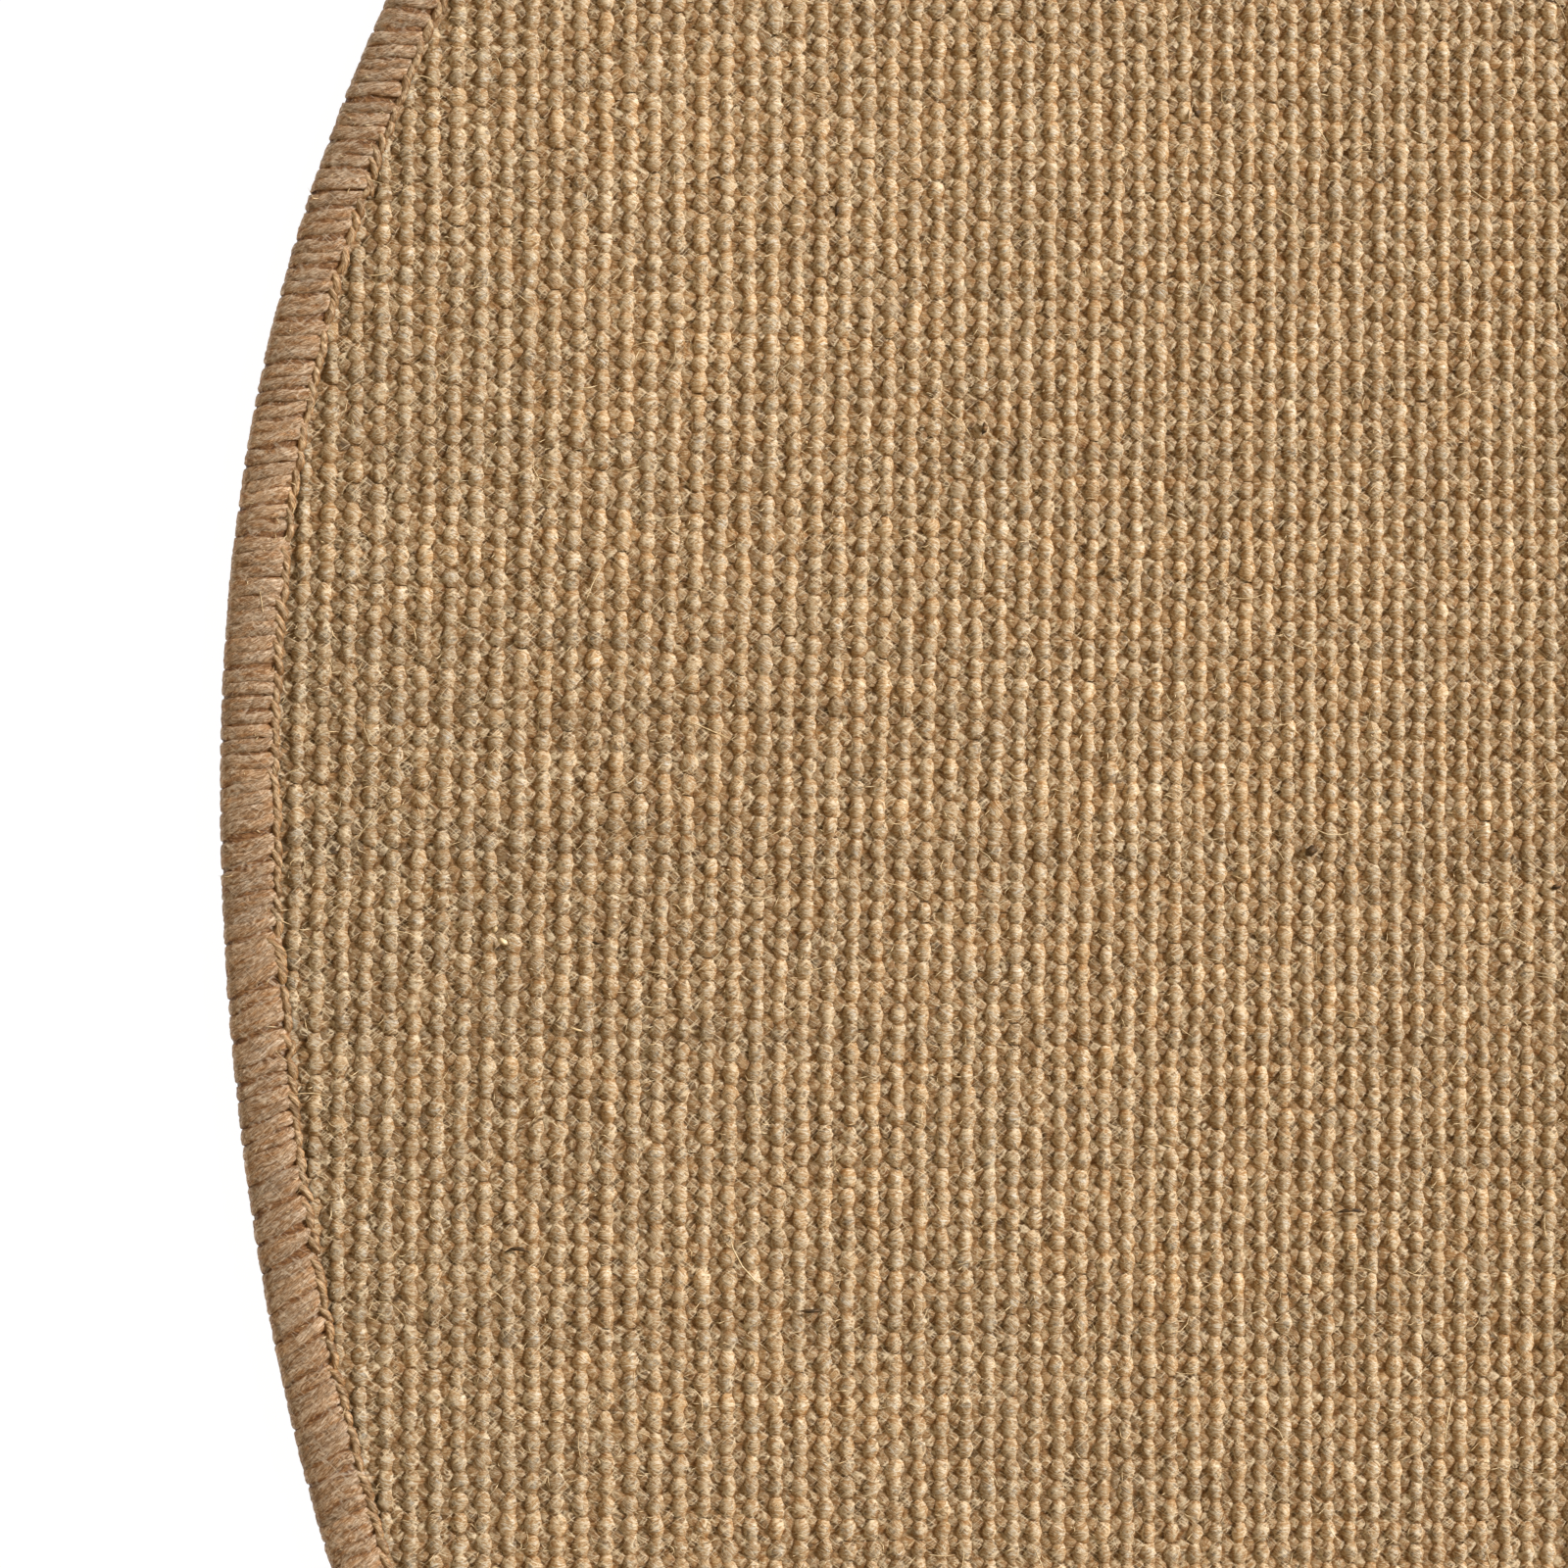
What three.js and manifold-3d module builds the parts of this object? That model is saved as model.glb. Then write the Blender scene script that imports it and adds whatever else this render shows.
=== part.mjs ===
// A round rug of woven jute. The field is one thick ribbed cloth. A soft yarn binding is
// wrapped over its cut rim, and a line of chain stitches locks the wraps along their inner
// ends. Millimetres, +Z up. The origin is on the floor, under the middle of the rug.

import * as THREE from 'three';
import { mergeVertices } from 'three/addons/utils/BufferGeometryUtils.js';
import Module from 'manifold-3d';

// Outline: the rug is cut by hand, so its edge runs a little in and out of the true circle.
// Each wave has a number of lobes round the rug, a reach from the circle and a turn in degrees.
const RUG_RADIUS = 500;
const OUTLINE_STEPS = 120;
const OUTLINE_WAVES = [
  { lobes: 3, reach: 1.5, turn: 72 },
  { lobes: 5, reach: 1.26, turn: 73 },
  { lobes: 8, reach: 0.89, turn: -133.5 },
  { lobes: 11, reach: 0.5, turn: 21 },
];

// Woven field: ribs run from the front of the rug to the back. Their pitch drifts a little
// from one side of the rug to the other, and they sway sideways along their length, most in
// some places and hardly at all in others.
const RIB_PITCH = 5.27;
const PITCH_DRIFT = { share: 0.06, wavelength: 430, start: -555 };
const RIB_SWAY = { reach: 2.8, wavelength: 620, start: 40, strongestAt: -420, fadesOver: 560 };
const RIB_STEPS = 4;
const RIB_PROFILE = [
  { across: 0, height: 5.0 },
  { across: 0.3, height: 6.3 },
  { across: 0.7, height: 6.3 },
];

// Binding: a section in millimetres inward from the rug's edge and up from the floor. It
// wraps over the rim, under it and round the edge, with a low step for the chain stitches.
const BINDING_WIDTH = 12.5;
const CHAIN_STEP_WIDTH = 2.2;
const FLANGE_BELOW = 1.2;
const CAVITY_TOP = 5.1;
const CAVITY_END = 2.2;
const CHAIN_STEP_HEIGHT = 5.9;
const BINDING_SECTION = [
  { inward: BINDING_WIDTH, height: 0 },
  { inward: BINDING_WIDTH, height: FLANGE_BELOW },
  { inward: CAVITY_END, height: FLANGE_BELOW },
  { inward: CAVITY_END, height: CAVITY_TOP },
  { inward: BINDING_WIDTH, height: CAVITY_TOP },
  { inward: BINDING_WIDTH, height: CHAIN_STEP_HEIGHT },
  { inward: BINDING_WIDTH - CHAIN_STEP_WIDTH, height: CHAIN_STEP_HEIGHT },
  { inward: 9.6, height: 6.6 },
  { inward: 6.0, height: 6.9 },
  { inward: 2.8, height: 6.4 },
  { inward: 0.7, height: 4.9 },
  { inward: 0, height: 3.3 },
  { inward: 0.6, height: 1.5 },
  { inward: 2.6, height: 0 },
];

// Chain stitches: a low rounded cord that lies on the binding's step.
const GAP = 0.3;
const CHAIN_MARGIN = 0.2;
const CHAIN_FOOT = CHAIN_STEP_HEIGHT + GAP;
const CHAIN_OUTER = BINDING_WIDTH - CHAIN_STEP_WIDTH + CHAIN_MARGIN;
const CHAIN_INNER = BINDING_WIDTH - CHAIN_MARGIN;
const CHAIN_RISE = 1.0;
const CHAIN_SIDES = 4;

// Rim: the field's edge is pressed thinner where the binding holds it.
const RIM_BOTTOM = FLANGE_BELOW + GAP;
const RIM_TOP = CAVITY_TOP - GAP;
const RIM_END = CAVITY_END + GAP;
const CORE_END = BINDING_WIDTH + GAP;

// Yarns: natural jute in three tones, all of them matt.
const YARNS = {
  field: { color: 0xa78762, roughness: 0.95 },
  binding: { color: 0x97785a, roughness: 0.97 },
  chain: { color: 0xb0926c, roughness: 0.95 },
};

const wasm = await Module();
wasm.setup();

function outlineRadius(angle) {
  let radius = RUG_RADIUS;
  for (const wave of OUTLINE_WAVES) {
    const turn = THREE.MathUtils.degToRad(wave.turn);
    radius += wave.reach * Math.cos(wave.lobes * angle - turn);
  }
  return radius;
}

function outlinePoints(inward) {
  const points = [];
  for (let step = 0; step < OUTLINE_STEPS; step += 1) {
    const angle = 2 * Math.PI * step / OUTLINE_STEPS;
    const radius = outlineRadius(angle) - inward;
    points.push(new THREE.Vector2(radius * Math.cos(angle), radius * Math.sin(angle)));
  }
  return points;
}

// A flat slice of the rug's outline, inward millimetres inside its edge.
function outlineSlice(inward, bottom, top) {
  const shape = new THREE.Shape(outlinePoints(inward));
  const slice = new THREE.ExtrudeGeometry(shape, { depth: top - bottom, bevelEnabled: false });
  return slice.translate(0, 0, bottom);
}

// A closed ring that carries one section all the way round the outline.
function outlineRing(section) {
  const positions = [];
  const loops = section.map((point) => outlinePoints(point.inward));
  for (let step = 0; step < OUTLINE_STEPS; step += 1) {
    section.forEach((point, index) => {
      const place = loops[index][step];
      positions.push(place.x, place.y, point.height);
    });
  }
  const indices = [];
  const count = section.length;
  for (let step = 0; step < OUTLINE_STEPS; step += 1) {
    const here = step * count;
    const next = ((step + 1) % OUTLINE_STEPS) * count;
    for (let index = 0; index < count; index += 1) {
      const after = (index + 1) % count;
      indices.push(here + index, here + after, next + index);
      indices.push(next + index, here + after, next + after);
    }
  }
  const ring = new THREE.BufferGeometry();
  ring.setAttribute('position', new THREE.Float32BufferAttribute(positions, 3));
  ring.setIndex(indices);
  ring.computeVertexNormals();
  return ring;
}

function ribPitchAt(x) {
  const phase = 2 * Math.PI * (x - PITCH_DRIFT.start) / PITCH_DRIFT.wavelength;
  return RIB_PITCH * (1 + PITCH_DRIFT.share * Math.sin(phase));
}

function ribSwayAt(x, y) {
  const fade = Math.cos(Math.PI * (x - RIB_SWAY.strongestAt) / RIB_SWAY.fadesOver) ** 2;
  return RIB_SWAY.reach * fade * Math.sin(2 * Math.PI * (y - RIB_SWAY.start) / RIB_SWAY.wavelength);
}

// The ribbed cloth before it is cut round: its end view, drawn out from front to back in a
// few steps, so that the ribs can sway a little.
function ribbedCloth() {
  const half = RUG_RADIUS + RIB_PITCH;
  const endView = new THREE.Shape();
  endView.moveTo(-half, 0);
  let x = -half;
  while (x < half) {
    const pitch = ribPitchAt(x);
    for (const point of RIB_PROFILE) {
      endView.lineTo(x + point.across * pitch, point.height);
    }
    x += pitch;
  }
  endView.lineTo(x, RIB_PROFILE[0].height);
  endView.lineTo(x, 0);
  const cloth = new THREE.ExtrudeGeometry(endView, {
    depth: 2 * half,
    steps: RIB_STEPS,
    bevelEnabled: false,
  });
  cloth.rotateX(Math.PI / 2);
  cloth.translate(0, half, 0);
  const places = cloth.getAttribute('position');
  for (let index = 0; index < places.count; index += 1) {
    const x = places.getX(index);
    const y = places.getY(index);
    places.setX(index, x + ribSwayAt(x, y));
  }
  return cloth;
}

function toSolid(geometry) {
  const bare = geometry.clone();
  bare.deleteAttribute('normal');
  bare.deleteAttribute('uv');
  const merged = mergeVertices(bare);
  return new wasm.Manifold(new wasm.Mesh({
    numProp: 3,
    vertProperties: new Float32Array(merged.getAttribute('position').array),
    triVerts: new Uint32Array(merged.getIndex().array),
  }));
}

function toGeometry(solid) {
  const mesh = solid.getMesh();
  const geometry = new THREE.BufferGeometry();
  geometry.setAttribute('position', new THREE.BufferAttribute(mesh.vertProperties, 3));
  geometry.setIndex(new THREE.BufferAttribute(mesh.triVerts, 1));
  geometry.computeVertexNormals();
  return geometry;
}

// The field is cut to the outline inside the binding, and its pressed rim goes on into it.
function wovenField() {
  const tallest = Math.max(...RIB_PROFILE.map((point) => point.height));
  const cloth = toSolid(ribbedCloth());
  const core = cloth.intersect(toSolid(outlineSlice(CORE_END, -GAP, tallest + GAP)));
  const rim = toSolid(outlineSlice(RIM_END, RIM_BOTTOM, RIM_TOP));
  return toGeometry(core.add(rim));
}

// A half-round section that stands on the binding's step, from its inner foot to its outer.
function chainSection() {
  const middle = (CHAIN_INNER + CHAIN_OUTER) / 2;
  const half = (CHAIN_INNER - CHAIN_OUTER) / 2;
  const section = [];
  for (let side = 0; side <= CHAIN_SIDES; side += 1) {
    const angle = Math.PI * side / CHAIN_SIDES;
    const inward = middle + half * Math.cos(angle);
    section.push({ inward, height: CHAIN_FOOT + CHAIN_RISE * Math.sin(angle) });
  }
  return section;
}

function jutePiece(name, geometry, yarn) {
  const material = new THREE.MeshStandardMaterial({ ...yarn, metalness: 0 });
  material.name = name;
  const mesh = new THREE.Mesh(geometry, material);
  mesh.name = name;
  return mesh;
}

const rug = new THREE.Group();
rug.name = 'jute_rug';
rug.add(jutePiece('woven_field', wovenField(), YARNS.field));
rug.add(jutePiece('edge_binding', outlineRing(BINDING_SECTION), YARNS.binding));
rug.add(jutePiece('chain_stitch', outlineRing(chainSection()), YARNS.chain));

// The waves move the outline's box a little, so the rug is set with that box's middle at
// the origin.
const boxMiddle = new THREE.Box2().setFromPoints(outlinePoints(0)).getCenter(new THREE.Vector2());
rug.position.set(-boxMiddle.x, -boxMiddle.y, 0);

export default rug;
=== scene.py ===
# A round rug of woven jute, dressed over its solids. Lengths are in millimetres from the
# middle of the cutting circle until a mesh is written, which is in metres and centred.

import math

import bpy
import numpy as np
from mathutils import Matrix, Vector


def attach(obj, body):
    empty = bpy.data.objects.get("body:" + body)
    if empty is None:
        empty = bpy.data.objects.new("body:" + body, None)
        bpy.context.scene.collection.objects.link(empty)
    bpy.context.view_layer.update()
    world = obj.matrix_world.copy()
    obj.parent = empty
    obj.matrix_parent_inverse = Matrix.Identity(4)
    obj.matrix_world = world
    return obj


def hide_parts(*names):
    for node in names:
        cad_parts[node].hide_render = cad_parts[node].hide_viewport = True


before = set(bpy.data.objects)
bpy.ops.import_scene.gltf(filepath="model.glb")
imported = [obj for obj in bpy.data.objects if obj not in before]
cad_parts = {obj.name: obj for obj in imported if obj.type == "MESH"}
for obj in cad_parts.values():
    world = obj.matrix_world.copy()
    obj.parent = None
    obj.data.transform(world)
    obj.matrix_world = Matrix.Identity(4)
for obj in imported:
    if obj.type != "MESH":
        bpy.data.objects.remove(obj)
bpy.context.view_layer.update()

RNG = np.random.default_rng(20260)
TURN = 2 * math.pi

# The rug, as its solids have it. Each wave of the outline has its lobes, reach and turn in
# degrees. The ribs' pitch drifts across the rug, and the ribs sway along their length.
RUG_RADIUS = 500
OUTLINE_STEPS = 120
OUTLINE_WAVES = [(3, 1.5, 72), (5, 1.26, 73), (8, 0.89, -133.5), (11, 0.5, 21)]
RIB_PITCH = 5.27
PITCH_DRIFT = {"share": 0.06, "wavelength": 430, "start": -555}
RIB_SWAY = {"reach": 2.8, "wavelength": 620, "start": 40, "strongest_at": -420, "fades_over": 560}
BINDING_WIDTH = 12.5

# The binding is sewn by hand: past its plain width it goes this far, in a slow sway and a
# quick one, each with its lobes round the rug. The wraps widen from WIDENS_FROM inward, over
# a length of WIDENS_OVER.
REACH_MEAN = 0.95
REACH_SLOW = {"reach": 0.5, "lobes": 5, "turn": 3.0}
REACH_QUICK = {"reach": 0.2, "lobes": 61}
WIDENS_FROM = 3
WIDENS_OVER = 9

# The weave: rows of weft cross the ribs, a little closer together in some places, and run
# a little up and down the rug
ROW_PITCH = 4.62
ROW_PITCH_DRIFT = {"reach": 0.1, "wavelength": 490, "start": 25}
ROW_DRIFT = {"reach": 2.9, "wavelength": 750, "start": -448, "more": 0.7, "more_over": 600}
STRIPS = 8

# In the uv maps each float, wrap and loop has a cell of its own. A pair of numbers for uv is
# where it starts in its cell and how much of the cell it fills.
UV_BLOCKS = 3

# Each float, wrap and loop draws a number from 0 to this, which moves it to its own place in
# the material's noise
NOISE_SPAN = 900

# A random course is three waves, each with its share of the height and of the wavelength
WANDER_WAVES = ((0.5, 1.0), (0.3, 0.47), (0.2, 0.21))
WANDER_GAIN = 1.4


def outline_radius(angle):
    radius = RUG_RADIUS
    for lobes, reach, turn in OUTLINE_WAVES:
        radius = radius + reach * np.cos(lobes * angle - math.radians(turn))
    return radius


def polar(angle, inward):
    radius = outline_radius(angle) - inward
    return radius * np.cos(angle), radius * np.sin(angle)


def inward_of(x, y):
    return outline_radius(np.arctan2(y, x)) - np.hypot(x, y)


def binding_reach(angle):
    """How far past its plain width the binding goes."""
    slow = REACH_SLOW["reach"] * np.sin(REACH_SLOW["lobes"] * (angle - REACH_SLOW["turn"]))
    quick = REACH_QUICK["reach"] * np.sin(REACH_QUICK["lobes"] * angle)
    return REACH_MEAN + slow + quick


def widening(angle, inward):
    return binding_reach(angle) * np.clip((inward - WIDENS_FROM) / WIDENS_OVER, 0, 1)


def past_binding(x, y):
    return inward_of(x, y) - BINDING_WIDTH - binding_reach(np.arctan2(y, x))


def box_middle():
    x, y = polar(TURN * np.arange(OUTLINE_STEPS) / OUTLINE_STEPS, 0)
    return np.array([x.min() + x.max(), y.min() + y.max()]) / 2


MIDDLE = box_middle()


def rib_pitch(x):
    phase = TURN * (x - PITCH_DRIFT["start"]) / PITCH_DRIFT["wavelength"]
    return RIB_PITCH * (1 + PITCH_DRIFT["share"] * math.sin(phase))


def rib_sway(x, y):
    fade = np.cos(math.pi * (x - RIB_SWAY["strongest_at"]) / RIB_SWAY["fades_over"]) ** 2
    phase = TURN * (y - RIB_SWAY["start"]) / RIB_SWAY["wavelength"]
    return RIB_SWAY["reach"] * fade * np.sin(phase)


def row_pitch(y):
    phase = TURN * (y - ROW_PITCH_DRIFT["start"]) / ROW_PITCH_DRIFT["wavelength"]
    return ROW_PITCH - ROW_PITCH_DRIFT["reach"] * math.sin(phase)


def row_drift(x, y):
    reach = ROW_DRIFT["reach"] + ROW_DRIFT["more"] * np.sin(TURN * y / ROW_DRIFT["more_over"])
    return -reach * np.sin(TURN * (x - ROW_DRIFT["start"]) / ROW_DRIFT["wavelength"])


def edges_by(pitch_at, start, end):
    edges = [start]
    while edges[-1] < end:
        edges.append(edges[-1] + pitch_at(edges[-1]))
    return np.array(edges)


def wander(along, lines, height, wavelength):
    """A smooth random course for each line, about -height to height."""
    total = 0
    for share, length in WANDER_WAVES:
        phase = RNG.random(lines)
        total = total + share * np.sin(TURN * (along / (wavelength * length) + phase))
    return height * (total * WANDER_GAIN)


def jitter(count, varies):
    """One random number for each part, shaped to go with a grid of points for each."""
    spread, mean = varies
    return (mean + spread * RNG.standard_normal(count))[:, None, None]


def run_along(path):
    """How far along a path each of its points is."""
    return np.concatenate([[0], np.cumsum(np.linalg.norm(np.diff(path, axis=0), axis=1))])


# Nodes and materials

def node(tree, kind, inputs=(), **settings):
    made = tree.nodes.new(kind)
    for key, value in settings.items():
        setattr(made, key, value)
    for key, value in dict(inputs).items():
        if isinstance(value, bpy.types.NodeSocket):
            tree.links.new(value, made.inputs[key])
        else:
            made.inputs[key].default_value = value
    return made


def maths(tree, operation, *values, clamp=False):
    made = node(tree, "ShaderNodeMath", dict(enumerate(values)), operation=operation)
    made.use_clamp = clamp
    return made.outputs[0]


def vector_maths(tree, operation, *values):
    made = node(tree, "ShaderNodeVectorMath", dict(enumerate(values)), operation=operation)
    return made.outputs[0]


def noise(tree, vector, scale, detail=2.0, roughness=0.6, distortion=0.0):
    spread = vector_maths(tree, "MULTIPLY", vector, scale)
    made = node(tree, "ShaderNodeTexNoise", {
        "Vector": spread, "Scale": 1.0, "Detail": detail,
        "Roughness": roughness, "Distortion": distortion})
    return made.outputs[0]


def ramp(tree, factor, stops):
    made = node(tree, "ShaderNodeValToRGB", {0: factor})
    elements = made.color_ramp.elements
    while len(elements) < len(stops):
        elements.new(0.5)
    for element, (position, colour) in zip(elements, stops):
        element.position = position
        element.color = (*colour, 1)
    return made.outputs[0]


# Stray hairs on the yarn: for each set its angle in degrees and how its noise is stretched,
# and for both the width of a hair in the noise's own height
HAIR_SETS = [(35, (0.11, 0.75, 0.4)), (-40, (0.13, 0.8, 0.4))]
HAIR_WIDTH = 0.06
# The painted shadow beside a hair, in widths of a hair: how far off it runs and how wide it is
HAIR_SHADOW = (2.1, 1.3)
HAIR_SHADOW_DARK = 0.85
# The fine fibres' noise: detail, roughness and distortion
FINE_NOISE = (3.0, 0.7, 1.5)
# The hairs come in patches. These noises are scaled by this much for each millimetre.
PATCH_SCALE = (0.5, 0.5, 0.5)
PIT_SCALE = (0.8, 0.8, 0.8)
# Each contrast is a factor and a shift that stretch a noise to 0 to 1 or past it
FINE_CONTRAST = (4.6, -1.95)
PATCH_CONTRAST = (5.0, -2.0)
PIT_CONTRAST = (-6.0, 3.0)
# How much less the hairs and the dark pits, which are painted shade, show on top of a float than
# in a valley
HAIR_FADE = 0.25
PIT_FADE = 0.62
PIT_SHADE_COLOUR = (-0.36, -0.50, -0.68)
HUE_COLOUR = (0.022, -0.006, -0.05)
ROUGHNESS = (-0.22, 0.62)
SPECULAR = 0.3


def stray_hairs(tree, place, angle, scale):
    """Short hairs drawn as the contour lines of a stretched noise, and the painted shadow that
    runs beside each one."""
    turned = node(tree, "ShaderNodeVectorRotate", {"Vector": place, "Angle": math.radians(angle)},
                  rotation_type="Z_AXIS").outputs[0]
    height = noise(tree, turned, scale, detail=0.0)
    off = maths(tree, "SUBTRACT", height, 0.5)
    made = []
    for middle, reach in ((0, 1), HAIR_SHADOW):
        away = maths(tree, "ABSOLUTE", maths(tree, "SUBTRACT", off, middle * HAIR_WIDTH))
        away = maths(tree, "DIVIDE", away, reach * HAIR_WIDTH)
        made.append(maths(tree, "SUBTRACT", 1.0, away, clamp=True))
    return made


def yarn_material(name, stops, pale, painted_shade_stops, fibre_scale, bump, hair):
    """Twisted jute. The attribute fibre is millimetres along and across the yarn and a
    number for each float; tone is lightness, which holds painted light and painted shade in
    places, hue, and how far out of the valleys it lies, which sets the painted shade."""
    material = bpy.data.materials.new(name)
    material.use_nodes = True
    tree = material.node_tree
    shader = tree.nodes["Principled BSDF"]
    fibre = node(tree, "ShaderNodeAttribute", attribute_name="fibre").outputs["Vector"]
    tone = node(tree, "ShaderNodeAttribute", attribute_name="tone").outputs["Vector"]
    light, hue, depth = node(tree, "ShaderNodeSeparateXYZ", {0: tone}).outputs
    position = node(tree, "ShaderNodeNewGeometry").outputs["Position"]
    place = vector_maths(tree, "MULTIPLY", position, (1000, 1000, 1000))

    fine = noise(tree, fibre, (*fibre_scale, 1), *FINE_NOISE)
    value = maths(tree, "MULTIPLY_ADD", fine, *FINE_CONTRAST, clamp=True)

    first, second = [stray_hairs(tree, place, *each) for each in HAIR_SETS]
    patch = noise(tree, place, PATCH_SCALE, detail=1.0)
    patch = maths(tree, "MULTIPLY_ADD", patch, *PATCH_CONTRAST, clamp=True)
    fade = maths(tree, "MULTIPLY_ADD", depth, -HAIR_FADE, 1.0)
    patch = maths(tree, "MULTIPLY", patch, fade)
    lines, hair_shadows = (maths(tree, "MULTIPLY", maths(tree, "MAXIMUM", *pair), patch)
                   for pair in zip(first, second))

    # Painted shade: dark warm spots in the pits between floats, fading on their tops
    pits = noise(tree, place, PIT_SCALE)
    pits = maths(tree, "MULTIPLY_ADD", pits, *PIT_CONTRAST, clamp=True)
    fade = maths(tree, "MULTIPLY_ADD", depth, -PIT_FADE, 1.0, clamp=True)
    pits = maths(tree, "MULTIPLY", pits, fade)

    colour = ramp(tree, value, stops)
    # Painted shade: darker and warmer towards the valleys, creases and gaps, by depth
    deep = ramp(tree, depth, painted_shade_stops)
    shift = vector_maths(tree, "MULTIPLY_ADD", hue, HUE_COLOUR, (1, 1, 1))
    # Painted shadow: darkening beside each drawn hair
    hair_shadows = maths(tree, "MULTIPLY_ADD", hair_shadows, -HAIR_SHADOW_DARK * hair, 1.0)
    pits = vector_maths(tree, "MULTIPLY_ADD", pits, PIT_SHADE_COLOUR, (1, 1, 1))
    for factor in (deep, shift, light, hair_shadows, pits):
        colour = vector_maths(tree, "MULTIPLY", colour, factor)
    colour = node(tree, "ShaderNodeMix", {
        0: maths(tree, "MULTIPLY", lines, hair), 6: colour, 7: (*pale, 1)},
        data_type="RGBA").outputs[2]
    tree.links.new(colour, shader.inputs["Base Color"])

    made = node(tree, "ShaderNodeBump", {
        "Height": fine, "Strength": 1.0, "Distance": bump * 0.001})
    tree.links.new(made.outputs[0], shader.inputs["Normal"])
    rough = maths(tree, "MULTIPLY_ADD", value, *ROUGHNESS)
    tree.links.new(rough, shader.inputs["Roughness"])
    shader.inputs["Specular IOR Level"].default_value = SPECULAR
    return material


def write_mesh(name, points, faces, material, fibre, tone, uv=None):
    """points are millimetres, faces an array of quads or triangles, uv one pair a point."""
    points = np.array(points, dtype=np.float64).reshape(-1, 3)
    points[:, :2] -= MIDDLE
    faces = np.asarray(faces, dtype=np.int32)
    corners = faces.shape[1]
    mesh = bpy.data.meshes.new(name)
    mesh.vertices.add(len(points))
    mesh.vertices.foreach_set("co", (points * 0.001).astype(np.float32).ravel())
    mesh.loops.add(faces.size)
    mesh.loops.foreach_set("vertex_index", faces.ravel())
    mesh.polygons.add(len(faces))
    starts = np.arange(0, faces.size, corners, dtype=np.int32)
    mesh.polygons.foreach_set("loop_start", starts)
    mesh.polygons.foreach_set("use_smooth", np.ones(len(faces), dtype=bool))
    mesh.update(calc_edges=True)
    for key, values in (("fibre", fibre), ("tone", tone)):
        layer = mesh.attributes.new(key, "FLOAT_VECTOR", "POINT")
        layer.data.foreach_set("vector", np.asarray(values, dtype=np.float32).ravel())
    if uv is not None:
        layer = mesh.uv_layers.new(name="OFBake")
        pairs = np.asarray(uv, dtype=np.float32)[faces.ravel()]
        layer.data.foreach_set("uv", pairs.ravel())
    mesh.validate()
    mesh.materials.append(material)
    piece = bpy.data.objects.new(name, mesh)
    bpy.context.scene.collection.objects.link(piece)
    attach(piece, "root")
    return piece


def grid_quads(count, rows, columns):
    """The quads of count grids of points, each one rows by columns."""
    grid = np.arange(rows * columns).reshape(rows, columns)
    corners = [grid[:-1, :-1], grid[1:, :-1], grid[1:, 1:], grid[:-1, 1:]]
    quads = np.stack(corners, -1).reshape(-1, 4)
    return (quads[None] + (np.arange(count) * rows * columns)[:, None, None]).reshape(-1, 4)


# The weave

# Each yarn has its colours from the darkest fibre to the palest, as stops, and the painted shade
# they are multiplied by from the valleys to the tops, as depth. PALE is the colour of stray
# hairs.
FIELD_STOPS = [(0.0, (0.36, 0.217, 0.094)), (0.45, (0.53, 0.413, 0.26)),
               (1.0, (0.67, 0.618, 0.545))]
FIELD_PAINTED_SHADE = [(0.0, (0.62, 0.44, 0.26)), (0.35, (0.92, 0.80, 0.655)), (1.0, (1, 1, 1))]
PALE = (0.76, 0.64, 0.45)

# Tones: broad waves, a dark band, a darker left side and a darker near half. A wave is its
# lengths in x and in y and the share of a turn where it starts. A spot is its middle and its
# reach, in x and then in y. Beside the binding the field darkens too.
TONE_WAVES = ((310, 530, 0.3), (170, -230, 0))
TONE_WAVE_SHARE = 0.5
PATCH_LIGHT = 0.025
BAND = (-375, 40, 45, 7)
BAND_DARK = 0.05
BAND_HUE = 1.2
LEFT_SIDE = (-440, 10, 100, 110)
LEFT_DARK = 0.14
NEAR_DARK = 0.017
NEAR_FROM = 10
NEAR_OVER = 40
EDGE_DARK = 0.17
EDGE_OVER = 24
# Painted shade: the floats in the valleys are darker than those over the ribs by this factor
VALLEY_PAINTED_SHADE = 0.86

# The floats: patches of mesh with these heights and shades, a row for each step along the
# yarn and a column for each step across it. The shades are painted shade: dark at the edges
# and low down, and darker on the side away from the key light. Those over the ribs stand out,
# and those in the valleys are low pads. size is half the float along and across, in pitches of
# the weave, ragged is how far its points stray at random, and uv_box is its uv along the yarn.
RIB_FLOAT = {
    "ragged": 0.13, "size": (0.395, 0.54), "top": 6.35, "uv_box": (0.02, 0.58),
    "heights": [[0, 0.1, 0], [0.32, 0.95, 0.32], [0.38, 1, 0.38], [0.05, 0.15, 0.05]],
    "shades": [[0, 0.1, 0], [0.08, 0.8, 0.08], [0.2, 1.2, 0.2], [0, 0.25, 0]],
}
VALLEY_FLOAT = {
    "ragged": 0.2, "size": (0.32, 0.41), "top": 5.5, "uv_box": (0.64, 0.34),
    "heights": [[0.15, 0.42, 0.15], [0.55, 0.95, 0.55], [0.15, 0.42, 0.15]],
    "shades": [[0, 0.1, 0], [0.08, 0.42, 0.08], [0, 0.1, 0]],
}
FLOAT_FOOT = 3.9
FLOAT_UV = (0.03, 0.94)
# How far into the binding's place a float may start, and how the floats sink beside it
KEPT_FROM = -1.5
SINKS_FROM = 0.4
SINKS_OVER = 2.4
SINKS_BY = 0.5
# How yarns and ribs wander, each as a height and a wavelength, and how each one differs
YARN_THICKNESS = (0.07, 60)
YARN_TINT = (0.05, 130)
YARN_TINT_EACH = 0.05
YARN_HUE = (0.5, 90)
RIB_HUE_EACH = 0.35
RIB_WANDER = (0.25, 70)
ROW_WANDER = (0.3, 80)
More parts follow.
